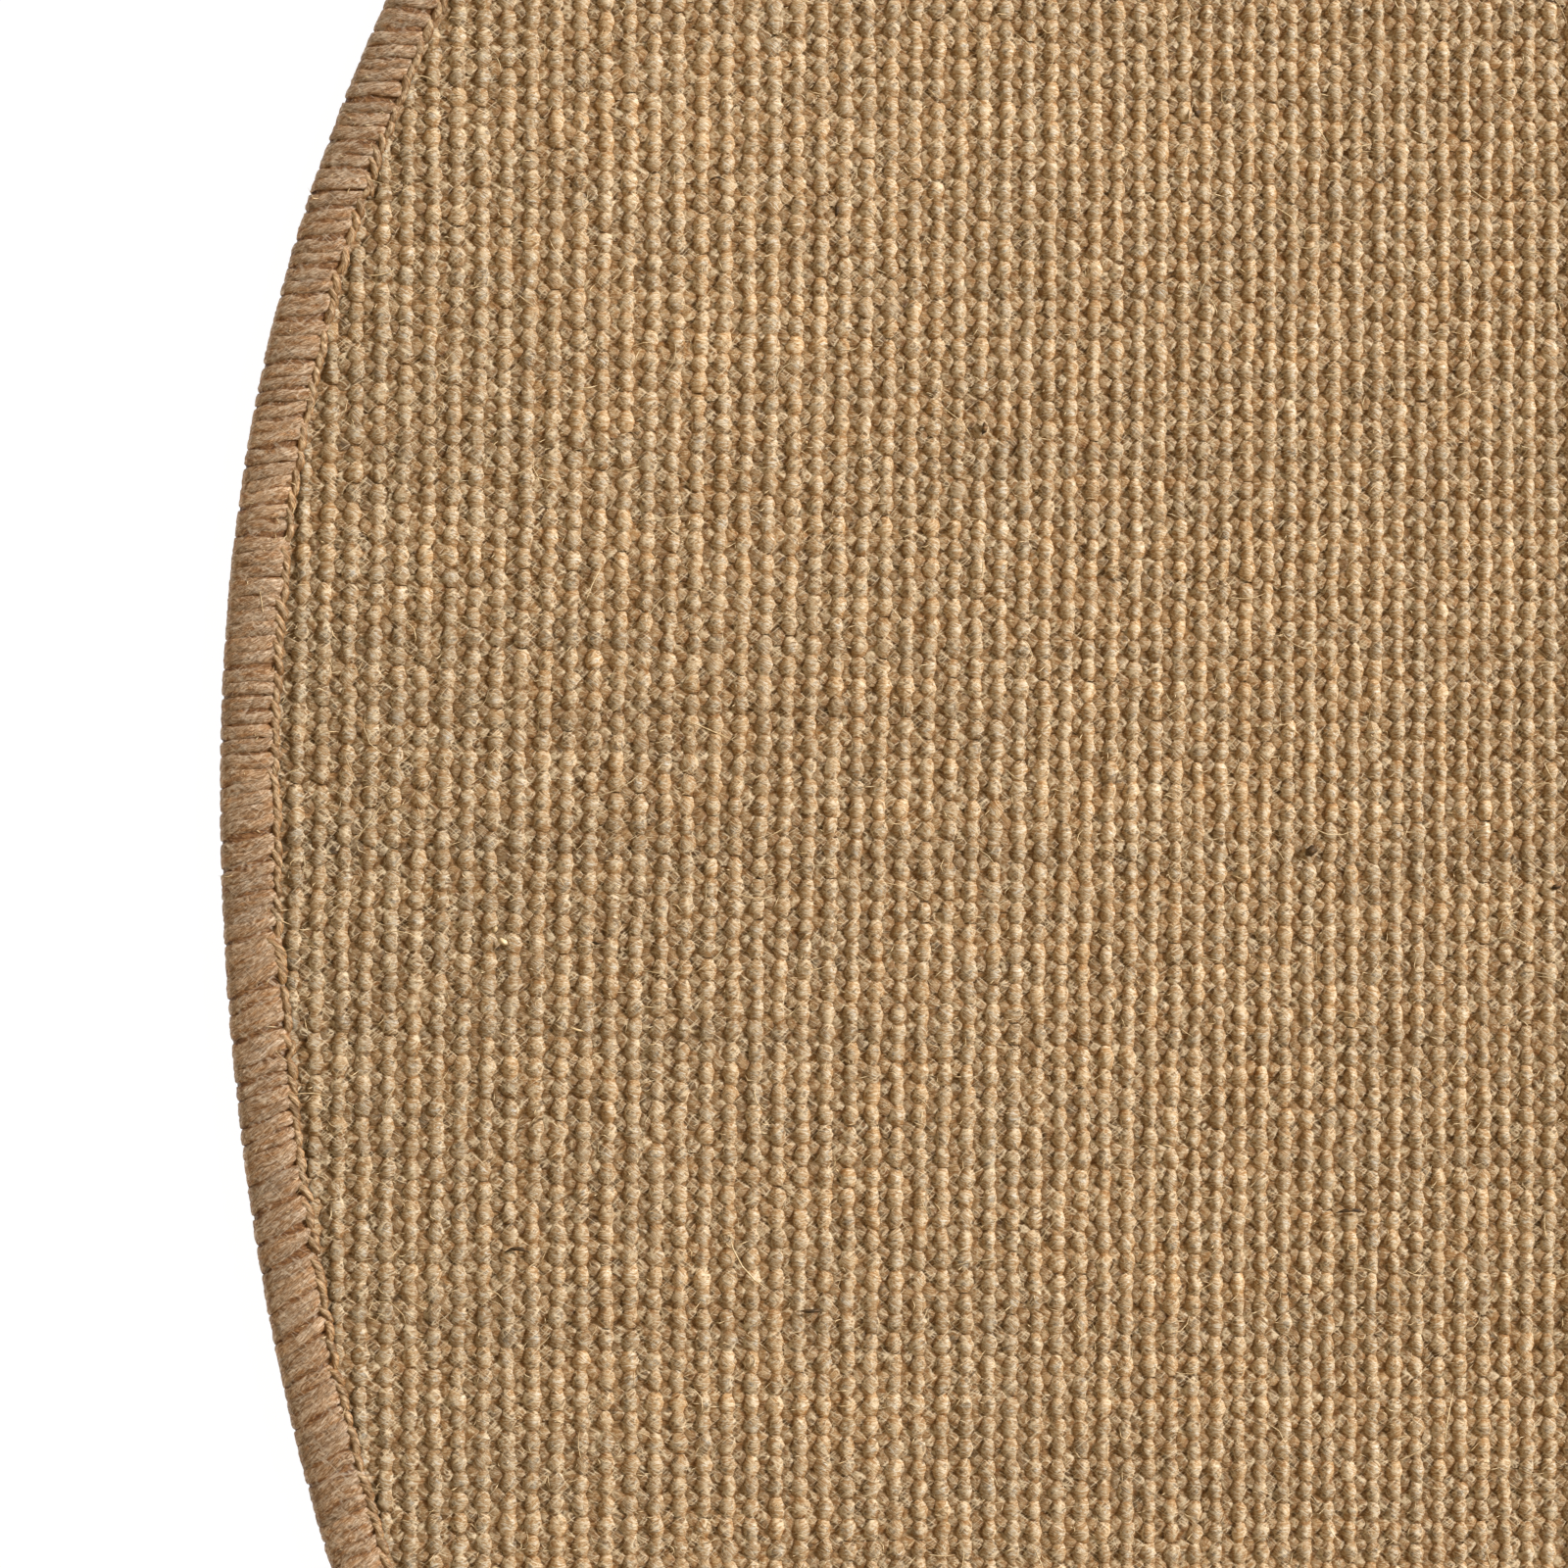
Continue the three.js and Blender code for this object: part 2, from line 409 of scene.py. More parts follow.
# How each float differs, as a random spread and a mean
FLOAT_VARIES = {
    "length": (0.06, 1), "width": (0.05, 1), "turn": (0.10, 0.06), "x": (0.13, 0),
    "y": (0.11, 0), "lift": (0.12, 0), "slant": (0.25, 0.3), "light": (0.065, 1),
    "hue": (0.28, 0),
}
THICK_LIFT = 1.2
FLOAT_BUMPS = 0.06
FLOAT_HUE_LIMIT = 1.6


def spot(x, y, place):
    middle_x, middle_y, reach_x, reach_y = place
    return np.exp(-((x - middle_x) / reach_x) ** 2 - ((y - middle_y) / reach_y) ** 2)


def tonal_patches(x, y):
    patches = sum(TONE_WAVE_SHARE * np.sin(TURN * (x / length_x + y / length_y + start))
                  for length_x, length_y, start in TONE_WAVES)
    band = spot(x, y, BAND)
    left = spot(x, y, LEFT_SIDE)
    near = NEAR_DARK * (1 - np.tanh((y - NEAR_FROM) / NEAR_OVER))
    return PATCH_LIGHT * patches - BAND_DARK * band - LEFT_DARK * left - near, band


def floats(ribs, rows, over_rib):
    """The floats of one set of weft yarns: those over the ribs or those in the valleys.
    Returns for each float its cell, place, pitches, size and tone."""
    pitch_x = np.diff(ribs)
    pitch_y = np.diff(rows)
    if over_rib:
        line_x, line_y = ribs[:-1] + pitch_x / 2, rows[:-1] + pitch_y / 2
    else:
        line_x, line_y = ribs[:-1], rows[:-1]
    each_rib, each_row = (len(line_x), 1), (1, len(line_y))
    column, row = np.meshgrid(np.arange(len(line_x)), np.arange(len(line_y)), indexing="ij")
    x, y = line_x[column], line_y[row]
    thick = 1 + wander(x, each_row, *YARN_THICKNESS)
    tint = YARN_TINT_EACH * RNG.standard_normal(each_row) + wander(x, each_row, *YARN_TINT)
    hue = wander(x, each_row, *YARN_HUE) + RIB_HUE_EACH * RNG.standard_normal(each_rib)
    sway = rib_sway(x, y) + wander(y, each_rib, *RIB_WANDER)
    drift = row_drift(x, y) + wander(x, each_row, *ROW_WANDER)
    patches, band = tonal_patches(x, y)
    patches = patches - EDGE_DARK * np.exp(-np.maximum(past_binding(x, y), 0) / EDGE_OVER)
    cells = {
        "column": column, "row": row, "x": x + sway, "y": y + drift,
        "pitch_x": pitch_x[column], "pitch_y": pitch_y[row], "thick": thick,
        "light": 1 + tint + patches, "hue": hue + BAND_HUE * band,
    }
    kept = past_binding(cells["x"], cells["y"]) > KEPT_FROM
    return {key: values[kept] for key, values in cells.items()}


def beads(cells, kind):
    """One small patch of mesh for each float, as points, fibre, tone and the two halves of
    uv."""
    count = len(cells["x"])
    heights, shades = np.array(kind["heights"]), np.array(kind["shades"])
    half_x, half_y = kind["size"]
    steps_u, steps_v = heights.shape
    along = np.linspace(-1, 1, steps_u)[None, :, None]
    across = np.linspace(-1, 1, steps_v)[None, None, :]

    def of(key):
        return cells[key][:, None, None]

    def vary(key):
        return jitter(count, FLOAT_VARIES[key])

    size_x = half_x * of("pitch_x") * vary("length")
    size_y = half_y * of("pitch_y") * of("thick") * vary("width")
    rough = np.array([count, steps_u, steps_v])
    local_x = along * size_x + kind["ragged"] * RNG.standard_normal(rough)
    local_y = across * size_y + kind["ragged"] * RNG.standard_normal(rough)
    turn = vary("turn")
    x = of("x") + vary("x") + local_x - turn * local_y
    y = of("y") + vary("y") + local_y + turn * local_x
    lift = vary("lift") + THICK_LIFT * (of("thick") - 1)
    sunk = np.clip(1 - (past_binding(x, y) + SINKS_FROM) / SINKS_OVER, 0, 1)
    drop = (1 - heights)[None] * (kind["top"] - FLOAT_FOOT)
    raised = kind["top"] + lift * heights[None] - drop
    z = raised + FLOAT_BUMPS * RNG.standard_normal(rough) - SINKS_BY * sunk
    points = np.stack([x, y, z], -1)

    one = np.ones_like(x)
    number = np.broadcast_to(RNG.random(count)[:, None, None] * NOISE_SPAN, x.shape)
    fibre = np.stack([local_x, local_y + vary("slant") * local_x, number], -1)
    light = of("light") * vary("light") * one
    hue = np.clip(of("hue") + vary("hue"), -FLOAT_HUE_LIMIT, FLOAT_HUE_LIMIT) * one
    # Painted shade for each point of the float, from its shades
    shade = np.broadcast_to(shades[None], x.shape)
    tone = np.stack([light, hue, shade], -1)
    left, width = kind["uv_box"]
    u = left + width * (along + 1) / 2 * one
    low, height = FLOAT_UV
    v = low + height * (across + 1) / 2 * one
    return points, fibre, tone, u, v


def field_strips(material):
    """The weave, in strips that keep each piece small. In its uv map a strip is cut into
    blocks of rows that lie side by side."""
    ribs = edges_by(rib_pitch, -(RUG_RADIUS + RIB_PITCH), RUG_RADIUS + RIB_PITCH)
    rows = edges_by(row_pitch, -(RUG_RADIUS + ROW_PITCH), RUG_RADIUS + ROW_PITCH)
    over = floats(ribs, rows, True)
    under = floats(ribs, rows, False)
    # Painted shade on the low floats in the valleys
    under["light"] = under["light"] * VALLEY_PAINTED_SHADE
    sets = []
    for cells, kind in ((over, RIB_FLOAT), (under, VALLEY_FLOAT)):
        sets.append((cells, np.shape(kind["heights"]), beads(cells, kind)))
    per_strip = -(-(len(ribs) - 1) // STRIPS)
    per_block = -(-(len(rows) - 1) // UV_BLOCKS)
    strips = []
    for strip in range(STRIPS):
        points, fibre, tone, uv, quads = [], [], [], [], []
        start = 0
        for cells, (steps_u, steps_v), made in sets:
            kept = cells["column"] // per_strip == strip
            column = cells["column"][kept] % per_strip
            row = cells["row"][kept]
            left = (row // per_block) * per_strip + column
            u = (left[:, None, None] + made[3][kept]) / (per_strip * UV_BLOCKS)
            v = ((row % per_block)[:, None, None] + made[4][kept]) / per_block
            count = int(kept.sum())
            for store, part in zip((points, fibre, tone), made[:3]):
                store.append(part[kept].reshape(-1, 3))
            uv.append(np.stack([u, v], -1).reshape(-1, 2))
            quads.append(grid_quads(count, steps_u, steps_v) + start)
            start += count * steps_u * steps_v
        piece = write_mesh(
            f"field_weave_{strip + 1}", np.concatenate(points), np.concatenate(quads), material,
            np.concatenate(fibre), np.concatenate(tone), np.concatenate(uv))
        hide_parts("woven_field")
        strips.append(piece)
    return strips


# The cloth under the floats, from the middle of its top round its pressed rim to the middle
# of its underside: inward from the rug's edge, and height
CLOTH_TOP = 4.4
CLOTH_FOOT = 0.5
CLOTH_LOOPS = (40, 100, 200, 300, 400, 499)
CLOTH_PATH = (
    [(inward, CLOTH_TOP) for inward in CLOTH_LOOPS[::-1]]
    + [(13.4, CLOTH_TOP), (12.3, 5.3), (9.5, 5.6), (3.2, 4.3), (3.2, 1.6), (12.9, 1.6),
       (13.2, CLOTH_FOOT)]
    + [(inward, CLOTH_FOOT) for inward in CLOTH_LOOPS])
RING_STEPS = 240
# Here and in the wraps, what lies below this height is the underside
UNDERSIDE_BELOW = 1.0
# Painted shade: the cloth shows only in the gaps between floats, so its tone is darkened
CLOTH_PAINTED_SHADE_TONE = [0.85, 0.3, 0.1]
UNDERSIDE_TONE = [0.95, 0.0, 0.6]


def rings(profile, steps):
    """A turned form, as loops of the outline joined by quads."""
    angle = TURN * np.arange(steps) / steps
    points = []
    for inward, height in profile:
        x, y = polar(angle, inward)
        points.append(np.stack([x, y, np.full(steps, float(height))], -1))
    points = np.concatenate(points)
    quads = []
    for ring in range(len(profile) - 1):
        here = ring * steps + np.arange(steps)
        after = ring * steps + (np.arange(steps) + 1) % steps
        quads.append(np.stack([here, after, after + steps, here + steps], -1))
    return points, np.concatenate(quads)


def base_cloth(material):
    """The body of the cloth under the floats, closed all round."""
    points, quads = rings(CLOTH_PATH, RING_STEPS)
    count = len(points)
    tone = np.tile(CLOTH_PAINTED_SHADE_TONE, (count, 1))
    tone[points[:, 2] < UNDERSIDE_BELOW] = UNDERSIDE_TONE
    fibre = np.stack([points[:, 0], points[:, 1], np.zeros(count)], -1)
    quads = quads[:, ::-1]
    faces = [quads[:, [0, 1, 2]], quads[:, [0, 2, 3]]]
    for ring, step in ((0, 1), (len(CLOTH_PATH) - 1, -1)):
        loop = ring * RING_STEPS + np.arange(RING_STEPS)
        fan = np.stack([np.full(len(loop) - 2, loop[0]), loop[1:-1], loop[2:]], -1)
        faces.append(fan[:, ::step])
    cloth = write_mesh(
        "base_cloth", points, np.concatenate(faces), material, fibre, tone)
    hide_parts("woven_field")
    return cloth


# The binding. Each path is a course round the rim: inward from the rug's edge, and height.

BINDING_STOPS = [(0.0, (0.24, 0.139, 0.071)), (0.5, (0.447, 0.302, 0.187)),
                 (1.0, (0.63, 0.51, 0.405))]
BINDING_PAINTED_SHADE = [(0.0, (0.52, 0.34, 0.18)), (0.5, (0.88, 0.72, 0.545)), (1.0, (1, 1, 1))]
BINDING_PALE = (0.76, 0.66, 0.53)
WRAPS = 951
# The wraps' pitch is measured this far inside the outline
PITCH_INWARD = 4
WRAP_UV_ROWS = 12
WRAP_UV_ACROSS = (0.04, 0.92)
WRAP_UV_ALONG = (0.03, 0.94)
YARN_TWIST = 0.34
# How the wraps wander round the rug, each as a height and a wavelength, and how each one
# differs. The slant is in degrees, and half the width is a share of the pitch.
WRAP_SLANT = 17
WRAP_SLANT_WANDER = (6, 210)
WRAP_SLANT_EACH = 2.5
WRAP_PLACE_EACH = 0.13
WRAP_HUE_WANDER = (0.5, 300)
WRAP_HUE_EACH = 0.4
WRAP_HUE_LIMIT = 1.5
WRAP_LIGHT_WANDER = (0.03, 150)
WRAP_LIGHT_EACH = 0.07
WRAP_HALF_WIDTH = 0.55
WRAP_WIDTH_WANDER = (0.03, 190)
WRAP_VARIES = {"width": (0.07, 1), "tilt": (0.16, 0), "lift": (0.16, 0)}
WRAP_BUMPS = 0.05
# Under the rug a wrap leans back by this share of its slant
UNDER_SLANT = 0.35
# Along its course each wrap waves sideways, by this height and wavelength
WRAP_WAVE = (0.28, 9)
WRAP_PATH = [(12.2, 5.6), (10.9, 6.7), (8.8, 7.0), (5.8, 7.0), (3.0, 6.65), (1.1, 5.7),
             (0.0, 3.7), (0.5, 1.4), (2.8, 0.15), (7.0, 0.1), (12.0, 0.3)]
CORE_PATH = [(11.8, 4.6), (10.9, 5.7), (8.6, 6.25), (5.8, 6.4), (3.2, 6.15), (1.5, 5.2),
             (0.5, 3.6), (1.1, 1.6), (2.8, 0.7), (7.0, 0.6), (12.0, 0.8)]
CORE_TOP_FROM = 3
CORE_FIBRE_STEP = 3.0
# Painted shade: the core shows only where wraps part, so its tone is dark
CORE_PAINTED_SHADE_TONE = [0.9, 0.2, 0.1]
# Across a wrap: places from -1 to 1, and how far the yarn rounds off there. Its edges start
# at WRAP_EDGE_FROM and lie deep beside the next wrap, where they are painted with shade.
WRAP_SIDE = [-1, -0.84, -0.45, 0.0, 0.45, 0.84, 1]
WRAP_ROUND = [-1.4, -0.45, -0.08, 0.0, -0.08, -0.45, -1.4]
WRAP_EDGE_FROM = 0.9
WRAP_EDGE_SHADE = 0.05
# Along a wrap: how much of that rounding it has, its painted light, palest on the outer rim, and
# its painted shade, deeper at its inner end, on the rim's side and under the rug. The first
# TOP_STATIONS points of the path lie on top of the rug, and the rest under it.
WRAP_FLATTER = [0.6, 1, 1, 0.95, 0.7, 0.45, 0.28, 0.28, 0.5, 0.7, 0.7]
TOP_STATIONS = 7
WRAP_PAINTED_LIGHT = [1.05, 1.16, 1.06, 0.93, 0.92, 1.25, 1.4, 1.0, 1.0, 1.0, 1.0]
WRAP_PAINTED_SHADE = [0.8, 1.0, 1.0, 1.0, 1.0, 1.0, 0.9, 0.8, 0.8, 0.8, 0.8]
# A groove between two plies of the yarn turns round each wrap. Its shade is how strongly the
# groove is painted with shade.
GROOVE = {"depth": 0.42, "width": 0.25, "every": 2.6, "shade": 2.0}


def path_normals(path):
    run = np.gradient(path, axis=0)
    run /= np.linalg.norm(run, axis=1)[:, None]
    return np.stack([run[:, 1], -run[:, 0]], -1)


def wrap_courses():
    """The wraps' pitch, and for each wrap its slant, angle round the rug, hue and light."""
    index = np.arange(WRAPS)
    pitch = TURN * (RUG_RADIUS - PITCH_INWARD) / WRAPS
    place = index * pitch
    slant = WRAP_SLANT + wander(place, 1, *WRAP_SLANT_WANDER)
    slant = np.radians(slant + WRAP_SLANT_EACH * RNG.standard_normal(WRAPS))
    angle = TURN * (index + WRAP_PLACE_EACH * RNG.standard_normal(WRAPS)) / WRAPS
    hue = WRAP_HUE_EACH * RNG.standard_normal(WRAPS) + wander(place, 1, *WRAP_HUE_WANDER)
    hue = np.clip(hue, -WRAP_HUE_LIMIT, WRAP_HUE_LIMIT)
    light = 1 + WRAP_LIGHT_EACH * RNG.standard_normal(WRAPS)
    light = light + wander(place, 1, *WRAP_LIGHT_WANDER)
    return pitch, slant, angle, hue, light


def binding_wraps(material, courses):
    """One wrap of yarn beside the next, over the rim and under it."""
    pitch, slant, angle, hue, light = courses
    count = WRAPS
    path = np.array(WRAP_PATH)
    outward = path_normals(path)
    length = run_along(path)
    stations = len(path)
    side = np.array(WRAP_SIDE)[None, None, :]
    round_off = np.array(WRAP_ROUND)[None, None, :]
    flatter = np.array(WRAP_FLATTER)[None, :, None]
    rough = (count, stations, side.size)

    def vary(key):
        return jitter(count, WRAP_VARIES[key])

    run = length[None, :, None]
    inward = path[None, :, 0, None]
    top_side = (np.arange(stations) < TOP_STATIONS)[None, :, None]
    lean = np.where(top_side, -1.0, UNDER_SLANT)
    shift = np.tan(slant)[:, None, None] * inward * lean
    wave_height, wavelength = WRAP_WAVE
    wave = wave_height * np.sin(TURN * (run / wavelength + RNG.random(count)[:, None, None]))
    half_width = WRAP_HALF_WIDTH + wander(np.arange(count) * pitch, 1, *WRAP_WIDTH_WANDER)
    width = pitch * half_width[:, None, None] * vary("width")
    every = GROOVE["every"]
    groove_at = every * RNG.random(count)[:, None, None] + YARN_TWIST * run / width
    groove_at = groove_at % every - every / 2
    groove = -GROOVE["depth"] * np.exp(-((side - groove_at) / GROOVE["width"]) ** 2)
    tangent = shift + wave + side * width + WRAP_BUMPS * RNG.standard_normal(rough)
    rise = round_off + groove + side * vary("tilt") + vary("lift")
    rise = rise * flatter + WRAP_BUMPS * RNG.standard_normal(rough)
    under = path[None, :, 1, None] < UNDERSIDE_BELOW
    rise = np.where(under, np.minimum(rise, 0.0), rise)
    deep = inward + outward[None, :, 0, None] * rise
    deep = deep + np.where(top_side, widening(angle[:, None, None], inward), 0.0)
    z = path[None, :, 1, None] + outward[None, :, 1, None] * rise
    theta = angle[:, None, None] + tangent / RUG_RADIUS
    x, y = polar(theta, deep)
    points = np.stack([x, y, np.maximum(z, 0.0)], -1)

    one = np.ones_like(x)
    number = RNG.random(count)[:, None, None] * NOISE_SPAN * one
    fibre = np.stack([run * one, side * width - YARN_TWIST * run, number], -1)
    # Painted shade in the gaps between wraps and in the groove
    edge = np.where(np.abs(side) > WRAP_EDGE_FROM, WRAP_EDGE_SHADE, 1.0)
    edge = edge * (1 + GROOVE["shade"] * groove)
    # Painted shade and painted light along each wrap
    depth = edge * np.array(WRAP_PAINTED_SHADE)[None, :, None]
    lightness = light[:, None, None] * np.array(WRAP_PAINTED_LIGHT)[None, :, None]
    tone = np.stack([lightness * one, hue[:, None, None] * one, depth * one], -1)
    per_row = -(-count // WRAP_UV_ROWS)
    index = np.arange(count)
    left, across = WRAP_UV_ACROSS
    u = (index % per_row)[:, None, None] + left + across * (side + 1) / 2
    u = u / per_row * one
    low, along = WRAP_UV_ALONG
    v = (index // per_row)[:, None, None] + low + along * run / length[-1]
    v = v / WRAP_UV_ROWS * one
    uv = np.stack([u, v], -1).reshape(-1, 2)
    quads = grid_quads(count, stations, side.size)[:, ::-1]
    piece = write_mesh("binding_wraps", points, quads, material,
                       fibre.reshape(-1, 3), tone.reshape(-1, 3), uv)
    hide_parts("edge_binding")
    return piece


def binding_core(material):
    """The wraps' inner side, closed all round, which shows wherever two wraps part, painted dark
    with shade.
    """
    around = TURN * np.arange(RING_STEPS) / RING_STEPS
    profile = [(inward + widening(around, inward) * (height > CORE_TOP_FROM), height)
               for inward, height in CORE_PATH + CORE_PATH[:1]]
    points, quads = rings(profile, RING_STEPS)
    points = points[:-RING_STEPS]
    quads = quads % len(points)
    index = np.arange(len(points))
    along = (index % RING_STEPS) * TURN * RUG_RADIUS / RING_STEPS
    inward = index // RING_STEPS * CORE_FIBRE_STEP
    fibre = np.stack([inward, along, np.zeros(len(index))], -1)
    tone = np.tile(CORE_PAINTED_SHADE_TONE, (len(index), 1))
    core = write_mesh(
        "binding_core", points, quads[:, ::-1], material, fibre, tone)
    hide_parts("edge_binding")
    return core


# The chain

CHAIN_STOPS = [(0.0, (0.19, 0.105, 0.045)), (0.5, (0.37, 0.25, 0.14)),
               (1.0, (0.58, 0.43, 0.275))]
# Each loop's course: inward, along the edge, height and half width. Across it are its places
# from -1 to 1 with their rounding off, painted shade, dark at both sides, and painted light,
# paler on the outer side, and along it its painted shade, deeper at its ends.
CHAIN_PATH = [(10.5, -0.7, 6.45, 0.45), (11.1, -0.4, 6.65, 0.7), (11.6, 0.4, 6.8, 0.85),
              (11.9, 1.4, 6.85, 0.95), (12.0, 2.5, 6.7, 0.9), (11.9, 3.5, 6.35, 0.75),
              (11.7, 4.2, 5.9, 0.45)]
CHAIN_SIDE = [-1, -0.6, 0.0, 0.6, 1]
CHAIN_ROUND = [-0.75, -0.2, 0.0, -0.2, -0.75]
CHAIN_PAINTED_SHADE = [0.2, 0.9, 1.0, 0.9, 0.3]
CHAIN_PAINTED_LIGHT = [0.95, 1.0, 1.05, 1.1, 1.2]
CHAIN_ALONG_PAINTED_SHADE = [0.7, 0.9, 1.0, 1.0, 0.9, 0.7, 0.4]
CHAIN_VARIES = {
    "inward": (0.15, 0), "turn": (0.22, 0), "length": (0.06, 1), "width": (0.08, 1),
    "lift": (0.08, 0), "light": (0.05, 1),
}
CHAIN_BUMPS = 0.04
# A loop's random turn is about the point this far along it
CHAIN_TURNS_AT = 2
CHAIN_TWIST = 0.5
# A loop starts where the slant of its wrap ends, this far in
CHAIN_INWARD = 10
CHAIN_UV_COLUMNS = 32
CHAIN_UV = (0.08, 0.84)


def chain_loops(material, courses):
    """Each wrap's yarn turns at its inner end and runs on beside the next wraps, tucked
    under the next turn: a line of bent strands like a rope."""
    _, slant, angle, hue, light = courses
    count = WRAPS
    course = np.array(CHAIN_PATH)
    stations = len(course)
    side = np.array(CHAIN_SIDE)[None, None, :]
    round_off = np.array(CHAIN_ROUND)[None, None, :]
    inward, along, height, width = (course[None, :, part, None] for part in range(4))

    def vary(key):
        return jitter(count, CHAIN_VARIES[key])

    inward = inward + binding_reach(angle)[:, None, None] + vary("inward")
    inward = inward + vary("turn") * (along - CHAIN_TURNS_AT)
    along = along * vary("length")
    heading = np.gradient(course[:, :2], axis=0)
    heading /= np.linalg.norm(heading, axis=1)[:, None]
    width = width * vary("width")
    rough = (count, stations, side.size)
    deep = inward - heading[None, :, 1, None] * side * width
    deep = deep + CHAIN_BUMPS * RNG.standard_normal(rough)
    along = along + heading[None, :, 0, None] * side * width
    along = along - np.tan(slant)[:, None, None] * CHAIN_INWARD
    z = height + round_off + vary("lift") + CHAIN_BUMPS * RNG.standard_normal(rough)
    theta = angle[:, None, None] + along / RUG_RADIUS
    x, y = polar(theta, deep)
    points = np.stack([x, y, z], -1)

    one = np.ones_like(x)
    run = run_along(course[:, :2])
    number = RNG.random(count)[:, None, None] * NOISE_SPAN * one
    across = side * width + CHAIN_TWIST * run[None, :, None]
    fibre = np.stack([run[None, :, None] * one, across, number], -1)
    # Painted shade at the loop's sides and ends, and painted light on its outer side
    depth = (np.array(CHAIN_PAINTED_SHADE)[None, None, :]
             * np.array(CHAIN_ALONG_PAINTED_SHADE)[None, :, None])
    lightness = light[:, None, None] * vary("light") * np.array(CHAIN_PAINTED_LIGHT)[None, None, :]
    tone = np.stack([lightness * one, hue[:, None, None] * one, depth * one], -1)
    columns = CHAIN_UV_COLUMNS
    index = np.arange(count)
    left, share = CHAIN_UV
    u = ((index % columns)[:, None, None] + left + share * (side + 1) / 2) / columns * one
    v = (index // columns)[:, None, None] + left + share * run[None, :, None] / run[-1]
    v = v / -(-count // columns) * one
    uv = np.stack([u, v], -1).reshape(-1, 2)
    quads = grid_quads(count, stations, side.size)
    piece = write_mesh("chain_loops", points, quads, material,
                       fibre.reshape(-1, 3), tone.reshape(-1, 3), uv)
    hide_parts("chain_stitch")
    return piece


# Loose fibres, bark and straw

STRAW_STOPS = [(0.0, (0.48, 0.35, 0.19)), (0.5, (0.64, 0.50, 0.31)), (1.0, (0.80, 0.66, 0.44))]
BARK_STOPS = [(0.0, (0.05, 0.03, 0.015)), (0.5, (0.14, 0.08, 0.035)),
              (1.0, (0.26, 0.14, 0.06))]
# Loose fibres: how many, loops, shortest, longest, thinnest, thickest, arch
FIBRE_SETS = [(27000, 1, 1.5, 5.5, 0.18, 0.36, 0.65), (1500, 3, 5.0, 16.0, 0.18, 0.32, 0.9)]
FIBRE_MARGIN = 4
# The heading is a mean and a spread in radians, the bow a share of the length, and the ends'
# heights and the light are ranges. The stretch is for the material's fibre noise.
FIBRE_HEADING = (0.1, 0.8)
FIBRE_BOW = 0.16
FIBRE_ENDS = (5.6, 6.6)
FIBRE_MIDDLE = 6.35
FIBRE_LIGHT = (0.75, 1.15)
FIBRE_HUE = 0.4
FIBRE_STRETCH = 0.4
UV_SPAN = 2 * RUG_RADIUS + 10
# A spindle's three sides start at this share of a turn, and its height is this share of
# its width
FIRST_CORNER = 0.08
FLAKE = 0.6
# Each bit that shows: x, y, length, thickness and heading in degrees. The part of the rug
# that shows starts this many radians from the +X side.
PHOTO_STARTS = 2.75
BARK_SEEN = [
    (-250.7, 8.2, 3.4, 2.4, 40), (-276.9, 175.6, 3.0, 1.6, -60), (-325.1, 104.0, 3.0, 1.4, 80),
    (-430.7, -82.9, 6.0, 1.0, 0), (-364.0, -96.0, 5.5, 1.0, 3), (-412.0, -12.2, 4.0, 0.9, 10),
    (-241.8, -73.8, 7.0, 0.9, 2), (-358.4, 153.3, 3.0, 1.1, 85), (-195.1, 0.0, 2.6, 1.4, 20),
    (-219.0, 31.5, 2.0, 1.2, 70)]
STRAW_SEEN = [
    (-377.9, -84.6, 17.5, 0.5, -55), (-434.0, -12.4, 2.8, 1.6, -30),
    (-417.3, -32.2, 4.0, 0.6, -15), (-436.0, -9.5, 2.2, 1.2, 60)]
BIT_MARGIN = 20
BIT_SHORTEST = 1.5
BIT_THINNEST = 0.5
BIT_HEADING = 0.7
BIT_BOW = 0.1
BIT_HEIGHTS = [6.2, 6.7, 6.3]
BIT_LIGHT = (0.8, 1.2)
BIT_LOOPS = 3


def spindles(start, heading, length, bow, thickness, heights, loops):
    """Closed tapered fibres with three sides. heights are each end's and the middle's."""
    count = len(length)
    t = np.linspace(0, 1, loops + 2)
    run = np.stack([np.cos(heading), np.sin(heading)], -1)
    side = np.stack([-run[:, 1], run[:, 0]], -1)
    flat = (start[:, None, :] + run[:, None, :] * (length[:, None] * t)[..., None]
            + side[:, None, :] * (bow[:, None] * 4 * t * (1 - t))[..., None])
    z = (heights[:, :1] * (1 - t) + heights[:, 2:] * t
         + (heights[:, 1:2] - (heights[:, :1] + heights[:, 2:]) / 2) * 4 * t * (1 - t))
    spine = np.concatenate([flat, z[..., None]], -1)
    points = [spine[:, :1]]
    for loop in range(1, loops + 1):
        for corner in range(3):
            turn = TURN * (corner / 3 + FIRST_CORNER)
            offset = (np.concatenate([side, np.zeros((count, 1))], -1) * math.cos(turn)
                      + np.array([0, 0, FLAKE]) * math.sin(turn)) * thickness[:, None] / 2
            points.append((spine[:, loop] + offset)[:, None])
    points.append(spine[:, -1:])
    points = np.concatenate(points, 1)
    last = 3 * loops + 1
    faces = []
    for corner in range(3):
        after = (corner + 1) % 3
        faces.append((0, 1 + after, 1 + corner))
        faces.append((last, last - 3 + corner, last - 3 + after))
        for loop in range(loops - 1):
            low, high = 1 + 3 * loop, 4 + 3 * loop
            faces.append((low + corner, low + after, high + after))
            faces.append((low + corner, high + after, high + corner))
    faces = np.array(faces)[None] + (np.arange(count) * (last + 1))[:, None, None]
    return points.reshape(-1, 3), faces.reshape(-1, 3), last + 1


